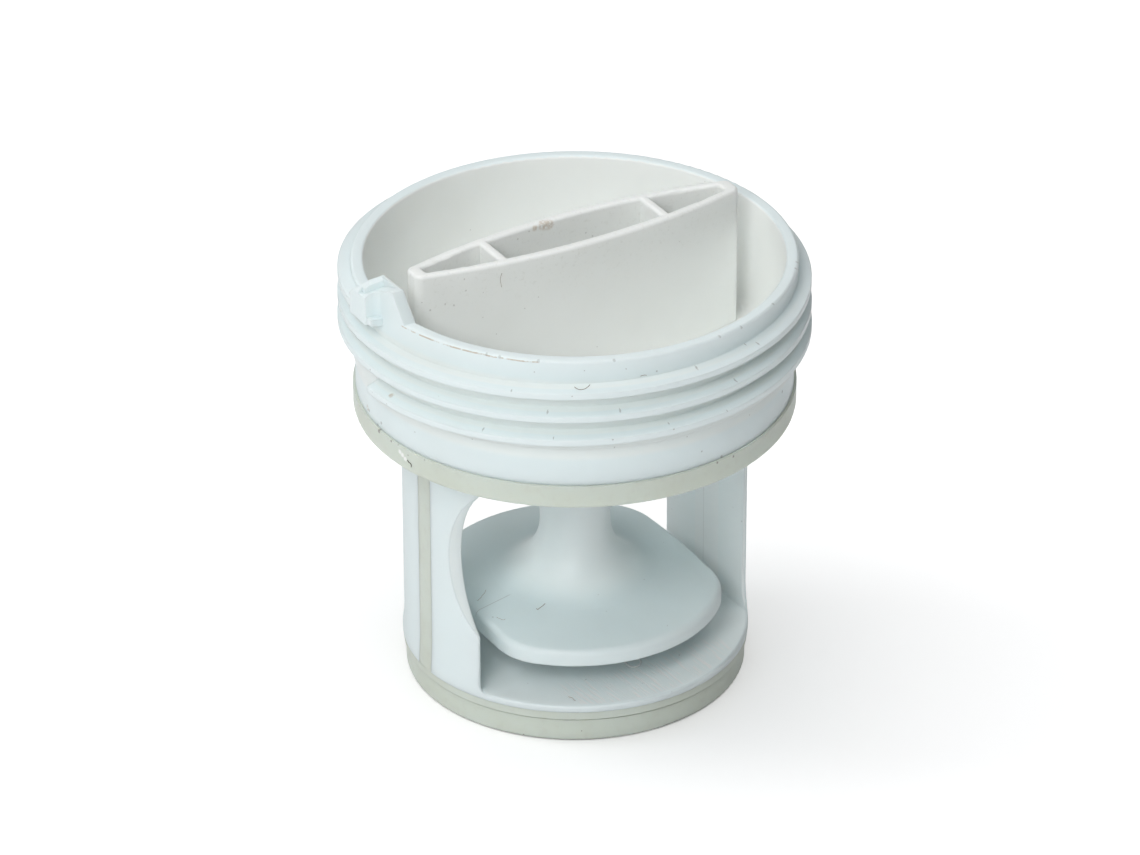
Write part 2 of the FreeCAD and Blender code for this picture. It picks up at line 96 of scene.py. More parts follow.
# Specks on the seal, on the same terms
SEAL_SPECKS = {
    0.12: ((-82, 47.6), (-78, 46.9), (-72, 47.5), (-85, 6.3), (-28.5, 1.7)),
    0.20: ((-85, 47.5), (-48, 0.3), (8.5, 47.5), (14, 47.3)),
    0.34: ((-91, 47.5),),
}
# Specks elsewhere: x, y and z
INNER_SPECKS = {
    0.11: (
        (-17.6, -3.8, 68.4), (-17.7, -3.8, 64.3), (0.7, -5.3, 54.9), (13.5, -4.1, 72.5),
        (29.0, 10.8, 67.5), (-1.9, -10.0, 15.6), (-2.5, -13.4, 14.7), (6.6, -9.1, 15.2),
        (-1.0, -21.4, 5.9), (1.3, -26.0, 6.1), (23.0, 9.9, 13.0), (23.0, -7.8, 22.2)),
    0.17: (
        (-25.5, -2.2, 66.9), (-23.3, -2.7, 67.5), (-22.0, -3.0, 67.1), (-20.4, -3.3, 71.1),
        (-20.2, -3.3, 69.2), (-7.6, 3.5, 71.1), (-5.6, 3.6, 71.8), (4.1, 3.6, 68.9),
        (5.2, 3.6, 68.1), (-17.3, -5.2, 14.0), (-7.5, -15.8, 5.6), (8.0, -17.1, 5.7),
        (23.0, -10.3, 21.0)),
}
# The flake on the collar, in three places
FLAKE = {0.42: ((-32.5, -5.0, 46.7), (-32.4, -5.6, 46.4), (-32.3, -6.2, 46.0))}
# Rusty stains: x, y and z
STAINS = {
    0.5: ((-4.6, 3.6, 72.0), (-33.7, -4.9, 56.4), (-32.0, 5.5, 48.8)),
    0.9: ((-3.1, 3.7, 72.1), (-2.2, 3.7, 71.9)),
}

# Hairs and fibres on the filter: name, half thickness, tint, the node that each clings to, and roughly
# the places that it passes, before it is laid on the surface
HAIRS = (
    ("curved_hair", 0.045, "brown", "filter_body", (
        (-17.0, -28.9, 64.6), (-16.9, -29.5, 64.5), (-16.3, -29.9, 64.4),
        (-15.6, -30.0, 64.6), (-14.9, -29.7, 64.8))),
    ("fibre_loop", 0.15, "pale", "filter_body", (
        (0.1, -14.2, 5.6), (-0.1, -15.6, 5.7), (0.4, -16.7, 5.8), (1.5, -16.5, 5.8),
        (2.3, -15.5, 5.7), (2.3, -14.7, 5.7), (1.7, -13.5, 5.6))),
    ("grip_hair", 0.035, "faint", "filter_body", (
        (-14.7, -4.3, 71.0), (-14.9, -4.3, 70.6), (-15.0, -4.3, 70.0),
        (-14.9, -4.3, 69.3), (-14.8, -4.3, 68.7))),
    ("plate_hair_back", 0.03, "faint", "filter_body", (
        (-17.1, -0.2, 14.2), (-16.3, 0.1, 14.3), (-15.9, 0.5, 14.4),
        (-15.2, 0.8, 14.5), (-14.7, 1.4, 14.6))),
    ("plate_hair_left", 0.03, "faint", "filter_body", (
        (-16.9, -5.6, 14.1), (-16.8, -6.0, 14.1), (-16.6, -6.5, 14.1),
        (-16.4, -6.9, 14.1), (-16.1, -6.8, 14.1))),
    ("plate_hair_front", 0.04, "brown", "filter_body", (
        (-11.1, -7.5, 14.8), (-11.2, -7.9, 14.7), (-10.8, -7.7, 14.8),
        (-10.0, -7.5, 14.9), (-9.5, -7.3, 15.0))),
    ("seal_hair", 0.05, "dark", "seal", (
        (-32.1, -6.7, 46.1), (-32.1, -6.9, 45.8), (-32.0, -7.3, 45.8),
        (-32.0, -7.6, 45.6), (-32.0, -7.5, 45.2))),
    ("thread_hair", 0.035, "brown", "filter_body", (
        (-7.9, -32.0, 65.2), (-7.7, -32.1, 65.3), (-7.4, -32.1, 65.3),
        (-7.2, -32.2, 65.3), (-7.0, -32.2, 65.2))),
    ("floor_hair", 0.04, "faint", "filter_body", (
        (-12.6, -19.3, 6.1), (-12.4, -19.6, 6.1), (-12.2, -19.9, 6.1),
        (-12.4, -20.5, 6.1), (-12.3, -20.9, 6.2))),
)

LAMP_DISTANCE = 0.75
# Lamps on the filter, and then on the floor: name, degrees to the camera's left, degrees up, watts, and
# width in metres
SOFT_BOXES = (
    ("front_key", 18, 40, 2.6, 0.35),
    ("right_high", -90, 65, 0.8, 0.35),
    ("back_high", 180, 60, 1.3, 0.35),
    ("left_low", 110, 15, 0.65, 0.35),
    ("left_high", 60, 65, 1.05, 0.35),
    ("front_low", 0, 15, 0.4, 0.35),
    ("back_left", 135, 52, 0.41, 0.35),
    ("left_front", 60, 25, 0.25, 0.35),
)
FLOOR_BOXES = (
    ("floor_fill", 0, 90, 8.2, 1.3),
    ("floor_left", 100, 48, 1.3, 0.35),
)
FLOOR_GLOW = 0.24
FLOOR_SIZE = 6.0
# How far the camera's picture is shifted, across and up, as shares of its width
CAMERA_SHIFT = (-0.0043, -0.0005)


class FilterColours(bpy.types.PropertyGroup):
    """Colours of the two mouldings and of the marks on them."""

    plastic: bpy.props.FloatVectorProperty(
        name="Plastic", description="White polypropylene, where it is clean",
        subtype="COLOR", size=3, default=(0.76, 0.852, 0.864), min=0, max=1)
    # Painted light: inside the cup the plastic is painted lighter than outside, lifting the cup's shade,
    # and it is a little warmer in tint.
    cup: bpy.props.FloatVectorProperty(
        name="Cup", description="The same plastic inside the cup, where hands have greyed it",
        subtype="COLOR", size=3, default=(0.88, 0.905, 0.885), min=0, max=1)
    groove: bpy.props.FloatVectorProperty(
        name="Grooves", description="The same plastic in the thread's grooves, a little warmer",
        subtype="COLOR", size=3, default=(0.80, 0.86, 0.85), min=0, max=1)
    # Painted light: the stem, the base and the legs' inner sides are painted lighter than the outside
    # plastic, lifting their shade.
    cage_painted_light: bpy.props.FloatVectorProperty(
        name="Sheltered", description="The same plastic on the stem, the base and the legs' inner sides",
        subtype="COLOR", size=3, default=(0.865, 0.945, 0.945), min=0, max=1)
    soft: bpy.props.FloatVectorProperty(
        name="Seal", description="Soft seal, a cloudy beige",
        subtype="COLOR", size=3, default=(0.63, 0.69, 0.62), min=0, max=1)
    soft_dull: bpy.props.FloatVectorProperty(
        name="Dull seal", description="The seal where it is duller and yellower",
        subtype="COLOR", size=3, default=(0.56, 0.59, 0.50), min=0, max=1)
    grime: bpy.props.FloatVectorProperty(
        name="Grime", description="Thin grey dirt that clouds both pieces",
        subtype="COLOR", size=3, default=(0.52, 0.52, 0.47), min=0, max=1)
    # This pale colour paints real scratches and the flake, and also the painted highlight band on the
    # right leg's inner side.
    scuff_and_highlight: bpy.props.FloatVectorProperty(
        name="Scuffs", description="Pale scratches and flakes",
        subtype="COLOR", size=3, default=(0.93, 0.95, 0.94), min=0, max=1)
    seam: bpy.props.FloatVectorProperty(
        name="Parting lines", description="Dirt in the thin lines where the mould's halves met",
        subtype="COLOR", size=3, default=(0.30, 0.30, 0.28), min=0, max=1)
    rust: bpy.props.FloatVectorProperty(
        name="Rust", description="Brown stains and the dirt on the rim's edge",
        subtype="COLOR", size=3, default=(0.42, 0.29, 0.17), min=0, max=1)
    speck: bpy.props.FloatVectorProperty(
        name="Specks", description="Small dark specks",
        subtype="COLOR", size=3, default=(0.16, 0.14, 0.12), min=0, max=1)
    dark: bpy.props.FloatVectorProperty(
        name="Dark hair", description="Dark hairs",
        subtype="COLOR", size=3, default=(0.07, 0.05, 0.04), min=0, max=1)
    brown: bpy.props.FloatVectorProperty(
        name="Brown hair", description="Brown hairs",
        subtype="COLOR", size=3, default=(0.30, 0.25, 0.20), min=0, max=1)
    faint: bpy.props.FloatVectorProperty(
        name="Faint hair", description="Thin hairs that hardly show",
        subtype="COLOR", size=3, default=(0.48, 0.44, 0.38), min=0, max=1)
    pale: bpy.props.FloatVectorProperty(
        name="Pale fibre", description="The white fibre on the base",
        subtype="COLOR", size=3, default=(0.97, 0.97, 0.96), min=0, max=1)


class FilterWear(bpy.types.PropertyGroup):
    """How strongly each kind of dirt and wear shows, from 0 to 1."""

    specks: bpy.props.FloatProperty(
        name="Specks", description="Dark specks on the white plastic",
        subtype="FACTOR", default=0.42, min=0, max=1)
    seal_specks: bpy.props.FloatProperty(
        name="Seal specks", description="Dark specks on the seal",
        subtype="FACTOR", default=0.7, min=0, max=1)
    dust: bpy.props.FloatProperty(
        name="Dust", description="Very small dark specks on both pieces",
        subtype="FACTOR", default=0.35, min=0, max=1)
    stains: bpy.props.FloatProperty(
        name="Stains", description="Rusty stains",
        subtype="FACTOR", default=0.5, min=0, max=1)
    burr: bpy.props.FloatProperty(
        name="Rim line", description="The brown broken line along the rim's edge",
        subtype="FACTOR", default=0.65, min=0, max=1)
    seams: bpy.props.FloatProperty(
        name="Parting lines", description="Dirt in the thin lines where the mould's halves met",
        subtype="FACTOR", default=0.4, min=0, max=1)
    # Painted highlight: how strongly the paler band on the right leg's inner side shows.
    leg_painted_highlight: bpy.props.FloatProperty(
        name="Leg band", description="The paler band on the right leg's inner side",
        subtype="FACTOR", default=0.35, min=0, max=1)
    scratches: bpy.props.FloatProperty(
        name="Scratches", description="Pale scratches on the base",
        subtype="FACTOR", default=0.9, min=0, max=1)
    clouds: bpy.props.FloatProperty(
        name="Clouds", description="Thin clouds of dirt on the white plastic",
        subtype="FACTOR", default=0.08, min=0, max=1)
    handling: bpy.props.FloatProperty(
        name="Handling", description="Patchy grey on the grip, where hands turn it",
        subtype="FACTOR", default=0.2, min=0, max=1)
    dullness: bpy.props.FloatProperty(
        name="Dullness", description="Duller and yellower clouds in the seal",
        subtype="FACTOR", default=0.35, min=0, max=1)
    smudges: bpy.props.FloatProperty(
        name="Smudges", description="Small smudges on the seal",
        subtype="FACTOR", default=0.18, min=0, max=1)
    flake: bpy.props.FloatProperty(
        name="Flake", description="The pale flake on the collar",
        subtype="FACTOR", default=0.8, min=0, max=1)


class FilterStudio(bpy.types.PropertyGroup):
    """Camera and lights."""

    distance: bpy.props.FloatProperty(
        name="Distance", description="From the camera to the filter's middle",
        subtype="DISTANCE", unit="LENGTH", default=1.0, min=0.1)
    aim: bpy.props.FloatProperty(
        name="Aim", description="Height on the filter's axis that the camera looks at",
        subtype="DISTANCE", unit="LENGTH", default=0.03898)
    elevation: bpy.props.FloatProperty(
        name="Elevation", description="How far the camera looks down",
        subtype="ANGLE", unit="ROTATION", default=math.radians(29.61))
    heading: bpy.props.FloatProperty(
        name="Heading", description="Turn of the camera round the filter",
        subtype="ANGLE", unit="ROTATION", default=math.radians(-30.4))
    roll: bpy.props.FloatProperty(
        name="Roll", description="Tilt of the picture",
        subtype="ANGLE", unit="ROTATION", default=math.radians(-0.15))
    lens: bpy.props.FloatProperty(
        name="Lens", description="Focal length in millimetres", default=212.29, min=1)
    power: bpy.props.FloatProperty(
        name="Power", description="Scales every soft box that lights the filter", default=1.0, min=0)
    sky: bpy.props.FloatProperty(
        name="Sky", description="Strength of the even light from all round", default=0.0, min=0)


class Wire:
    """A shader socket that takes part in Python arithmetic."""

    def __init__(self, finish, socket):
        self.finish = finish
        self.socket = socket

    def maths(self, operation, *values):
        return self.finish.maths(operation, *values)

    def __add__(self, other):
        return self.maths("ADD", self, other)

    def __sub__(self, other):
        return self.maths("SUBTRACT", self, other)

    def __rsub__(self, other):
        return self.maths("SUBTRACT", other, self)

    def __mul__(self, other):
        return self.maths("MULTIPLY", self, other)

    def __neg__(self):
        return self.maths("MULTIPLY", self, -1.0)

    def __abs__(self):
        return self.maths("ABSOLUTE", self)

    def __pow__(self, other):
        return self.maths("POWER", self, other)

    def least(self, other):
        return self.maths("MINIMUM", self, other)

    def most(self, other):
        return self.maths("MAXIMUM", self, other)


class Finish:
    """A material, the one method that adds nodes to it, and the patterns that are made with that."""

    def __init__(self, name):
        self.material = bpy.data.materials.new(name)
        self.material.use_nodes = True
        self.tree = self.material.node_tree
        self.shader = self.tree.nodes["Principled BSDF"]
        self.place = self.node("ShaderNodeTexCoord", {}, {}, "Object")

    def node(self, kind, settings, values, output=0):
        """Add a node of a type, with its settings first and then its sockets' values or links."""
        made = self.tree.nodes.new(kind)
        for name, value in settings.items():
            setattr(made, name, value)
        pairs = values.items() if isinstance(values, dict) else enumerate(values)
        for key, value in pairs:
            self.fill(made.inputs[key], value)
        return Wire(self, made.outputs[output])

    def fill(self, socket, value):
        """Link a socket or give it a value, and a colour's alpha is 1."""
        if isinstance(value, Wire):
            self.tree.links.new(value.socket, socket)
        elif hasattr(value, "__len__") and len(value) == 3 and len(socket.default_value) == 4:
            socket.default_value = (*value, 1.0)
        else:
            socket.default_value = value

    def step(self, value, low, high):
        """0 below low, 1 above high and a soft step between."""
        return self.node("ShaderNodeMapRange", {"interpolation_type": "SMOOTHSTEP"},
                         {"Value": value, "From Min": low, "From Max": high})

    def between(self, value, low, high, soft):
        """1 between two limits, with soft ends."""
        return self.step(value, low - soft, low + soft) * (1 - self.step(value, high - soft, high + soft))

    def apart(self, first, second):
        """The distance between two vectors."""
        return self.node("ShaderNodeVectorMath", {"operation": "DISTANCE"}, [first, second], 1)

    def marks(self, place, sizes):
        """1 on small round marks, given by their radius."""
        found = None
        for radius, centres in sizes.items():
            nearest = None
            for centre in centres:
                if len(centre) == 2:
                    centre = (math.radians(centre[0]) * BAND_R, centre[1], 0.0)
                away = self.apart(place, centre)
                nearest = away if nearest is None else nearest.least(away)
            mark = self.step(nearest, radius * 1.2, radius * 0.5)
            found = mark if found is None else found.most(mark)
        return found

    def blend(self, factor, first, second):
        """From the first colour to the second."""
        return self.node("ShaderNodeMix", {"data_type": "RGBA"}, {0: factor, 6: first, 7: second}, 2)

    def noise(self, per_mm, detail=2.0, roughness=0.5):
        """Cloudy noise from 0 to 1, at so many lumps per millimetre."""
        return self.node("ShaderNodeTexNoise", {}, {
            "Vector": self.place, "Scale": per_mm / MM, "Detail": detail, "Roughness": roughness})

    def split(self, vector):
        """The x, y and z of a vector."""
        return [self.node("ShaderNodeSeparateXYZ", {}, [vector], axis) for axis in range(3)]

    def joined(self, x, y, z):
        """A vector from three numbers."""
        return self.node("ShaderNodeCombineXYZ", {}, [x, y, z])

    def scaled(self, vector, factor):
        """A vector, made longer or shorter."""
        return self.node("ShaderNodeVectorMath", {"operation": "SCALE"}, {0: vector, "Scale": factor})

    def ragged(self, vector, per_mm, reach):
        """A place in millimetres, moved about by noise, so that marks get ragged edges."""
        drift = self.node("ShaderNodeTexNoise", {}, {"Vector": self.place, "Scale": per_mm / MM}, 1)
        drift = self.node("ShaderNodeVectorMath", {"operation": "SUBTRACT"}, [drift, (0.5, 0.5, 0.5)])
        return self.node("ShaderNodeVectorMath", {"operation": "ADD"}, [vector, self.scaled(drift, reach)])

    def turn_from_front(self, x, y):
        """How far round the axis a place is from the front, in radians."""
        return self.maths("ARCTAN2", x, -y)

    def maths(self, operation, *values):
        """One step of arithmetic on numbers."""
        return self.node("ShaderNodeMath", {"operation": operation}, values)

    def soft_edges(self, radius, height, strength, depth):
        """A normal with rounded edges and a bumpy skin."""
        rounded = self.node("ShaderNodeBevel", {"samples": 4}, {"Radius": radius * MM})
        return self.node("ShaderNodeBump", {}, {
            "Strength": strength, "Distance": depth * MM, "Height": height, "Normal": rounded})

    def glow_through(self, weight, spread, depth):
        """Let light a few millimetres into the surface, each colour by its own share of the depth."""
        self.set("Subsurface Weight", weight)
        self.set("Subsurface Radius", spread)
        self.set("Subsurface Scale", depth * MM)

    def set(self, name, value):
        """Link or set one socket of the shader."""
        self.fill(self.shader.inputs[name], value)


def white_plastic(colours, wear):
    """Satin polypropylene: cool white outside, painted lighter and warmer in the cup and lighter in the
    cage to lift their shade, with specks, stains, scratches and a painted highlight band on the right leg.
    """
    finish = Finish("white_plastic")
    place = finish.scaled(finish.place, 1 / MM)
    x, y, z = finish.split(place)
    radius = (x * x + y * y) ** 0.5
    turn = finish.turn_from_front(x, y)
    # The plastic's colour, with painted light in the cup and in the cage.
    clean = plastic_and_painted_light(finish, colours, wear, z, radius)

    seams, leg_painted_highlight = parting_lines(finish, x, y, z)
    scratched = base_scratches(finish, x, y, z, radius)
    burr = rim_burr(finish, turn, z, radius)
    # Painted highlight: the band on the right leg's inner side is painted paler.
    colour = finish.blend(leg_painted_highlight * wear.leg_painted_highlight, clean, tuple(colours.scuff_and_highlight))
    colour = finish.blend(seams * wear.seams, colour, tuple(colours.seam))
    colour = finish.blend(scratched * wear.scratches, colour, tuple(colours.scuff_and_highlight))
    colour = finish.blend(burr * wear.burr, colour, tuple(colours.rust))

    unrolled = finish.ragged(finish.joined(turn * BAND_R, z, 0.0), *RAGGED)
    ragged = finish.ragged(place, *RAGGED)
    stain = finish.marks(ragged, STAINS) * finish.step(finish.noise(2.2, 3.0), 0.30, 0.60)
    colour = finish.blend(stain * wear.stains, colour, tuple(colours.rust))
    nicks = finish.marks(unrolled, RIM_NICKS) * finish.step(radius, RIM_EDGE_R - 0.3, RIM_EDGE_R)
    outside = finish.step(radius, CUP_EDGE_R + 0.2, CUP_EDGE_R + 0.5)
    specks = finish.marks(unrolled, CAP_SPECKS) * outside
    specks = specks.most(finish.marks(ragged, INNER_SPECKS) * 0.7).most(nicks * 0.7)
    colour = finish.blend(specks * wear.specks, colour, tuple(colours.speck))
    colour = finish.blend(fine_dust(finish) * wear.dust, colour, tuple(colours.speck))

    finish.set("Base Color", colour)
    finish.set("Roughness", finish.noise(0.4, 3.0) * 0.12 + 0.36)
    finish.set("IOR", 1.49)
    finish.glow_through(0.35, (1.0, 0.95, 0.9), 3.0)
    grain = finish.noise(6.0, 2.0) * 0.25 + finish.noise(0.15, 1.0) * 0.5
    height = grain - seams * 0.8 - scratched * 1.2 - nicks * 1.5
    finish.set("Normal", finish.soft_edges(0.28, height, SKIN_BUMP, 0.07))
    return finish.material


def plastic_and_painted_light(finish, colours, wear, z, radius):
    """The plastic's colour in each part, painted lighter in the cup and in the cage to lift their shade,
    with a thin cloud of dirt and a handled grip.
    """
    # Painted light: the cup's inside takes the lighter, warmer cup colour, lifting its shade.
    in_cup = (finish.step(z, CUP_LOW_Z - 0.5, CUP_LOW_Z + 0.5)
              * finish.step(radius, CUP_EDGE_R + 0.15, CUP_EDGE_R - 0.15))
    colour = finish.blend(in_cup, tuple(colours.plastic), tuple(colours.cup))
    in_groove = finish.between(z, *GROOVES_Z, 0.5) * finish.between(radius, *GROOVES_R, 0.2)
    colour = finish.blend(in_groove, colour, tuple(colours.groove))
    clouds = finish.step(finish.noise(0.05, 3.0), 0.45, 0.75)
    colour = finish.blend(clouds * wear.clouds, colour, tuple(colours.grime))
    on_plate = (finish.between(z, *PLATE_Z, 0.5) * finish.step(radius, *STEM_R)
                * finish.step(radius, PLATE_R, PLATE_R - 0.25))
    # Painted light: the stem, the base and the legs' inner sides take a lighter colour, lifting their
    # shade.
    in_cage = (finish.step(z, CAGE_TOP_Z, CAGE_TOP_Z - 1.0)
               * finish.step(radius, CAGE_INSIDE_R, CAGE_INSIDE_R - 0.3) * (1 - on_plate))
    colour = finish.blend(in_cage, colour, tuple(colours.cage_painted_light))
    on_grip = finish.step(radius, GRIP_END_R, GRIP_END_R - 0.5) * in_cup
    patchy = finish.step(finish.noise(1.6, 4.0, 0.65), 0.54, 0.72)
    handled = on_grip * finish.step(z, *GRIP_WORN_Z) * patchy
    return finish.blend(handled * wear.handling, colour, tuple(colours.grime))


def parting_lines(finish, x, y, z):
    """Thin lines where the mould's halves met, and a painted highlight band on the right leg's inner side.
    """
    on_plate = finish.between(z, *PLATE_SEAM_Z, 0.2) * finish.between(x, *PLATE_SEAM_X, 0.5)
    on_leg = finish.between(x, *LEG_INSIDE_X, 0.1) * finish.between(z, *LEG_INSIDE_Z, 1.0)
    seams = finish.step(abs(y - PLATE_SEAM_Y - x * 0.04), 0.11, 0.04) * on_plate
    seams = seams.most(finish.step(abs(y - LEG_SEAM_Y), 0.12, 0.04) * on_leg * 0.5)
    return seams, finish.between(y, *LEG_BAND_Y, 0.25) * on_leg


def base_scratches(finish, x, y, z, radius):
    """Pale scratches side by side on the front of the base, all the same way."""
    stretched = finish.joined(x * 1.9 + y * 0.03, y * 0.12, 0.0)
    lines = finish.node("ShaderNodeTexNoise", {"noise_dimensions": "2D"}, {
        "Vector": stretched, "Scale": 1.0, "Detail": 3.0, "Roughness": 0.75})
    on_floor = (finish.step(z, BASE_FLOOR_Z + 0.4, BASE_FLOOR_Z)
                * finish.step(radius, BASE_FLOOR_R, BASE_FLOOR_R - 0.6))
    in_front = finish.between(x, *SCRATCHES_X, 1.5) * finish.step(y, *SCRATCHES_Y)
    return finish.step(lines, 0.50, 0.60) * on_floor * in_front


def rim_burr(finish, turn, z, radius):
    """The brown broken line that runs along the rim's outer edge, left of the front."""
    edge = finish.step(abs(z - RIM_EDGE_Z - finish.noise(0.35, 2.0) * 0.3 + 0.15), 0.16, 0.05)
    reach = finish.between(turn * (180 / math.pi), *BURR_REACH, 0.5)
    broken = finish.step(finish.noise(0.55, 3.0, 0.7), 0.38, 0.56)
    return edge * reach * broken * finish.step(radius, RIM_EDGE_R - 0.4, RIM_EDGE_R - 0.1)


def fine_dust(finish):
    """Very small dark specks, here and there."""
    cells = finish.node("ShaderNodeTexVoronoi", {}, {"Vector": finish.place, "Scale": 0.45 / MM})
    chance = finish.node("ShaderNodeTexVoronoi", {}, {"Vector": finish.place, "Scale": 0.45 / MM}, 1)
    few = finish.step(finish.split(chance)[0], 0.80, 0.86)
    return finish.step(cells, 0.055, 0.030) * few


def soft_rubber(colours, wear):
    """Cloudy beige soft plastic, with specks and a pale flake on the collar."""
    finish = Finish("soft_seal")
    place = finish.scaled(finish.place, 1 / MM)
    x, y, z = finish.split(place)
    turn = finish.turn_from_front(x, y)
    unrolled = finish.ragged(finish.joined(turn * BAND_R, z, 0.0), *RAGGED)
    clouds = finish.step(finish.noise(0.10, 3.0), 0.35, 0.70)
    colour = finish.blend(clouds * wear.dullness, tuple(colours.soft), tuple(colours.soft_dull))
    smudges = finish.step(finish.noise(0.8, 4.0, 0.6), 0.50, 0.75)
    colour = finish.blend(smudges * wear.smudges, colour, tuple(colours.grime))
    flake = finish.marks(finish.ragged(place, 2.5, 0.3), FLAKE)
    colour = finish.blend(flake * wear.flake, colour, tuple(colours.scuff_and_highlight))
    specks = finish.marks(unrolled, SEAL_SPECKS)
    colour = finish.blend(specks * wear.seal_specks, colour, tuple(colours.speck))
    colour = finish.blend(fine_dust(finish) * wear.dust, colour, tuple(colours.speck))
    finish.set("Base Color", colour)
    finish.set("Roughness", finish.noise(0.5, 2.0) * 0.14 + 0.36)
    finish.glow_through(0.35, (1.0, 0.92, 0.75), 2.5)
    height = finish.noise(2.0, 3.0) * 0.5 + finish.noise(0.2, 1.0) * 0.6 + flake
    finish.set("Normal", finish.soft_edges(0.25, height, SKIN_BUMP, 0.08))
    return finish.material


def hair_finish(name, colour):
    """A dry hair or fibre, a little uneven in colour."""
    finish = Finish(name)
    duller = tuple(part * 0.7 for part in colour)
    finish.set("Base Color", finish.blend(finish.noise(2.0, 2.0), colour, duller))
    finish.set("Roughness", finish.noise(3.0, 1.0) * 0.2 + 0.4)
    return finish.material


def dress(node, material):
    """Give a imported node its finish."""
    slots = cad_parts[node].data.materials
    slots.clear()
    slots.append(material)


class FILTER_OT_body(bpy.types.Operator):
    """Finish the white moulding"""

    bl_idname = "filter.body"
    bl_label = "White moulding"

    def execute(self, context):
        scene = context.scene
        dress("filter_body", white_plastic(scene.filter_colours, scene.filter_wear))
        return {"FINISHED"}


class FILTER_OT_seal(bpy.types.Operator):
    """Finish the soft seal"""

    bl_idname = "filter.seal"
    bl_label = "Soft seal"

    def execute(self, context):
        scene = context.scene
        dress("seal", soft_rubber(scene.filter_colours, scene.filter_wear))
        return {"FINISHED"}


class FILTER_OT_hairs(bpy.types.Operator):
    """Lay the hairs and fibres that cling to the filter"""

    bl_idname = "filter.hairs"
    bl_label = "Hairs and fibres"

    def execute(self, context):
        colours = context.scene.filter_colours
        finishes = {tint: hair_finish(tint + "_hair", tuple(getattr(colours, tint)))
                    for tint in ("dark", "brown", "faint", "pale")}
        for name, half, tint, node, points in HAIRS:
            self.hair(name, half, finishes[tint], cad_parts[node], points)
        return {"FINISHED"}

    def hair(self, name, half, material, surface, points):
        """A thin round strand, laid on a surface and closed at both ends."""
        bpy.ops.object.select_all(action="DESELECT")
        bpy.ops.curve.primitive_nurbs_path_add(location=(0, 0, 0))
        strand = bpy.context.object
        strand.name = name
        spline = strand.data.splines[0]
        spline.points.add(len(points) - len(spline.points))
        for point, (x, y, z) in zip(spline.points, points):
            point.co = (x * MM, y * MM, z * MM, 1.0)
        spline.order_u = 3
        spline.use_endpoint_u = True
        strand.data.resolution_u = 6
        bpy.ops.object.convert(target="MESH")
        self.lay(bpy.context.object, surface, half)
        bpy.ops.object.convert(target="CURVE")
        strand = bpy.context.object
        strand.data.bevel_depth = half * MM
        strand.data.bevel_resolution = 2
        strand.data.use_fill_caps = True
        bpy.ops.object.convert(target="MESH")
        strand = bpy.context.object
        strand.data.materials.clear()
        strand.data.materials.append(material)
        bpy.ops.object.mode_set(mode="EDIT")
        bpy.ops.mesh.select_all(action="SELECT")
        bpy.ops.mesh.remove_doubles(threshold=0.1 * half * MM)
        bpy.ops.mesh.normals_make_consistent(inside=False)
        bpy.ops.object.mode_set(mode="OBJECT")
        bpy.ops.object.shade_smooth()
        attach(strand, "root")

    def lay(self, line, surface, half):
        """Bring a thin line down to half a thickness above a surface."""
        bpy.ops.object.modifier_add(type="SHRINKWRAP")
        wrap = line.modifiers[-1]
        wrap.target = surface
        wrap.wrap_mode = "ABOVE_SURFACE"
        wrap.offset = half * MM
        bpy.ops.object.modifier_apply(modifier=wrap.name)


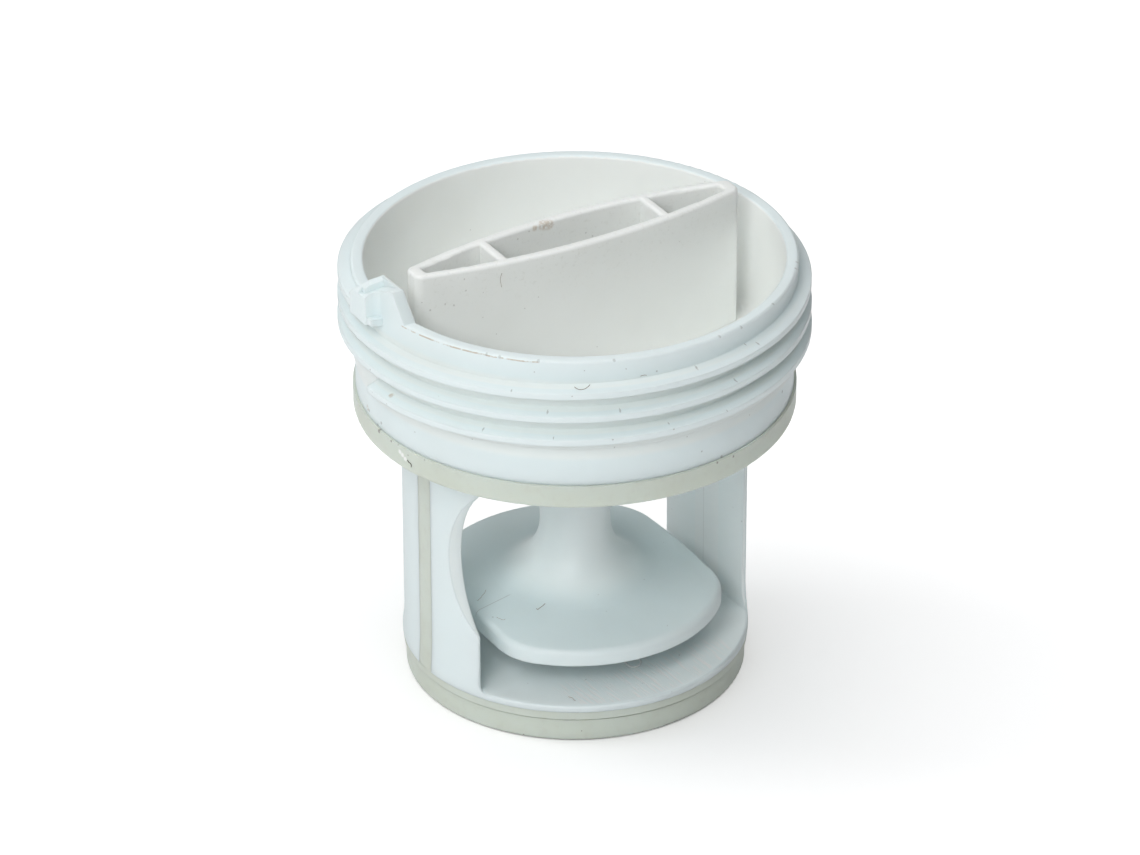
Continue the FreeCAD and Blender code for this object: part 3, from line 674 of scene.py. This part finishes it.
class FILTER_OT_studio(bpy.types.Operator):
    """Lay the floor, and set the lamps, the even light and the camera"""

    bl_idname = "filter.studio"
    bl_label = "Studio"

    def execute(self, context):
        studio = context.scene.filter_studio
        self.floor()
        self.lights(context.scene, studio)
        self.camera(context.scene, studio)
        return {"FINISHED"}

    def floor(self):
        """White paper that looks a little brighter to the camera than the lamps make it."""
        bpy.ops.object.select_all(action="DESELECT")
        bpy.ops.mesh.primitive_plane_add(size=FLOOR_SIZE)
        floor = bpy.context.object
        floor.name = "floor"
        finish = Finish("floor_paper")
        finish.set("Base Color", (0.93, 0.93, 0.935))
        finish.set("Roughness", 0.9)
        finish.set("Specular IOR Level", 0.1)
        floor.data.materials.append(finish.material)
        paper = Wire(finish, finish.shader.outputs[0])
        seen = finish.node("ShaderNodeLightPath", {}, {}, "Is Camera Ray")
        glow = finish.node("ShaderNodeEmission", {}, {"Color": (1, 1, 1), "Strength": FLOOR_GLOW})
        both = finish.node("ShaderNodeAddShader", {}, [paper, glow])
        shown = finish.node("ShaderNodeMixShader", {}, [seen, paper, both])
        finish.tree.links.new(shown.socket, finish.tree.nodes["Material Output"].inputs["Surface"])

    def lights(self, scene, studio):
        """Soft boxes that reach the filter alone or the floor alone, and even light from all round."""
        world = bpy.data.worlds.new("even_light")
        scene.world = world
        world.use_nodes = True
        background = world.node_tree.nodes["Background"]
        background.inputs["Color"].default_value = (1, 1, 1, 1)
        background.inputs["Strength"].default_value = studio.sky
        only_floor = self.receivers("only_the_floor", "INCLUDE")
        not_floor = self.receivers("all_but_the_floor", "EXCLUDE")
        for name, aside, up, power, width in SOFT_BOXES:
            self.soft_box(scene, studio, name, aside, up, power * studio.power, width, not_floor)
        for name, aside, up, power, width in FLOOR_BOXES:
            self.soft_box(scene, studio, name, aside, up, power, width, only_floor)

    def receivers(self, name, state):
        """A group that limits a lamp to the floor, or keeps it off the floor."""
        group = bpy.data.collections.new(name)
        group.objects.link(bpy.data.objects["floor"])
        group.collection_objects[0].light_linking.link_state = state
        return group

    def soft_box(self, scene, studio, name, aside, up, power, width, receivers):
        """A round soft box that looks at the filter, placed from the camera's side."""
        data = bpy.data.lights.new(name, "AREA")
        data.shape = "DISK"
        data.size = width
        data.energy = power
        box = bpy.data.objects.new(name, data)
        scene.collection.objects.link(box)
        box.light_linking.receiver_collection = receivers
        turn = studio.heading - math.radians(aside)
        tilt = math.radians(up)
        way = Vector((math.sin(turn) * math.cos(tilt), -math.cos(turn) * math.cos(tilt), math.sin(tilt)))
        facing = way.to_track_quat("Z", "Y").to_matrix().to_4x4()
        box.matrix_world = Matrix.Translation(way * LAMP_DISTANCE) @ facing

    def camera(self, scene, studio):
        """A long lens, at the photograph's angle."""
        data = bpy.data.cameras.new("camera")
        camera = bpy.data.objects.new("camera", data)
        scene.collection.objects.link(camera)
        data.sensor_width = 36.0
        data.lens = studio.lens
        data.shift_x, data.shift_y = CAMERA_SHIFT
        data.clip_start = 0.01
        turn = (Matrix.Rotation(studio.heading, 4, "Z")
                @ Matrix.Rotation(math.pi / 2 - studio.elevation, 4, "X")
                @ Matrix.Rotation(studio.roll, 4, "Z"))
        aim = Matrix.Translation((0, 0, studio.aim))
        camera.matrix_world = aim @ turn @ Matrix.Translation((0, 0, studio.distance))
        scene.camera = camera


class FILTER_PT_panel(bpy.types.Panel):
    """The filter's steps, colours, wear, camera and lights"""

    bl_idname = "FILTER_PT_panel"
    bl_label = "Drain Pump Filter"
    bl_space_type = "VIEW_3D"
    bl_region_type = "UI"
    bl_category = "Filter"

    def draw(self, context):
        for step in STEPS:
            self.layout.operator(step.bl_idname)
        scene = context.scene
        for group in (scene.filter_colours, scene.filter_wear, scene.filter_studio):
            for name in group.__annotations__:
                self.layout.prop(group, name)


STEPS = (FILTER_OT_body, FILTER_OT_seal, FILTER_OT_hairs, FILTER_OT_studio)
CLASSES = (FilterColours, FilterWear, FilterStudio, *STEPS, FILTER_PT_panel)


def register():
    for made in CLASSES:
        bpy.utils.register_class(made)
    bpy.types.Scene.filter_colours = bpy.props.PointerProperty(type=FilterColours)
    bpy.types.Scene.filter_wear = bpy.props.PointerProperty(type=FilterWear)
    bpy.types.Scene.filter_studio = bpy.props.PointerProperty(type=FilterStudio)


def unregister():
    del bpy.types.Scene.filter_studio
    del bpy.types.Scene.filter_wear
    del bpy.types.Scene.filter_colours
    for made in reversed(CLASSES):
        bpy.utils.unregister_class(made)


def main():
    """Run every step in order."""
    register()
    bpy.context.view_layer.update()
    bpy.context.scene.view_settings.view_transform = "Standard"
    for step in STEPS:
        group, name = step.bl_idname.split(".")
        getattr(getattr(bpy.ops, group), name)()


if __name__ == "__main__":
    main()
